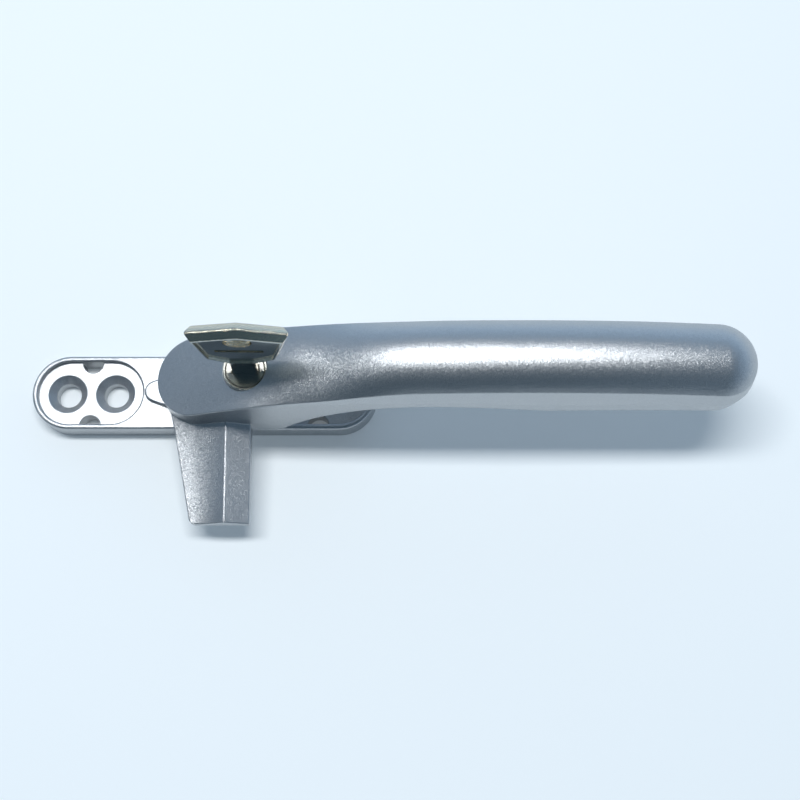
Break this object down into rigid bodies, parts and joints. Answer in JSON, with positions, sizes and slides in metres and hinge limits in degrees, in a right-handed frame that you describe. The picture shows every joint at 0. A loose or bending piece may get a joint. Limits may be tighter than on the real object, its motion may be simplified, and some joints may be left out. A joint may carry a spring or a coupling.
{
  "type": "casement window handle",
  "caption": "Locking cockspur handle: domed lever with a side spur turning on a screw-fixed obround plate, with a key-driven bolt in its neck.",
  "frame": {"origin": "on the lever's pivot axis, at the plate's mounting face, midway between the screw holes", "axes": "+X along the plate towards the grip's tip, -Y along the spur, +Z away from the window sash"},
  "size_m": [0.1538, 0.0384, 0.0508],
  "materials": {
    "silver_paint": "satin metallic silver with a fine flake",
    "zinc_steel": "zinc plated, satin",
    "spring_steel": "oiled dark steel",
    "nylon": "matte natural white",
    "lock_plating": "bright nickel, lightly brushed",
    "guide_brass": "turned",
    "key_plating": "bright nickel over a pebbled casting"
  },
  "bodies": {
    "plate": {"base_plate": "silver_paint", "friction_washer": "nylon"},
    "lever": {"lever_handle": "silver_paint", "pivot_spindle": "zinc_steel", "spring_washer": "spring_steel", "stop_washer": "zinc_steel", "lock_sleeve": "lock_plating", "bolt_guide": "guide_brass"},
    "plug": {"lock_plug": "lock_plating", "plug_clip": "spring_steel", "key": "key_plating"},
    "bolt": {"lock_bolt": "zinc_steel", "bolt_cross_pin": "spring_steel"}
  },
  "joints": [
    {"name": "lever_turn", "type": "hinge", "parent": "plate", "child": "lever", "pos_m": [0, 0, 0], "axis": [0, 0, 1], "range_deg": [0, 90]},
    {"name": "key_turn", "type": "hinge", "parent": "lever", "child": "plug", "pos_m": [0.011, 0, 0.02], "axis": [0, 0, 1], "range_deg": [0, 90]},
    {"name": "bolt_drop", "type": "slide", "parent": "lever", "child": "bolt", "axis": [0, 0, -1], "range_m": [0, 0.0032]}
  ],
  "couplings": [
    {"joint": "key_turn", "follows": "bolt_drop", "rad_per_m": 490.87}
  ]
}
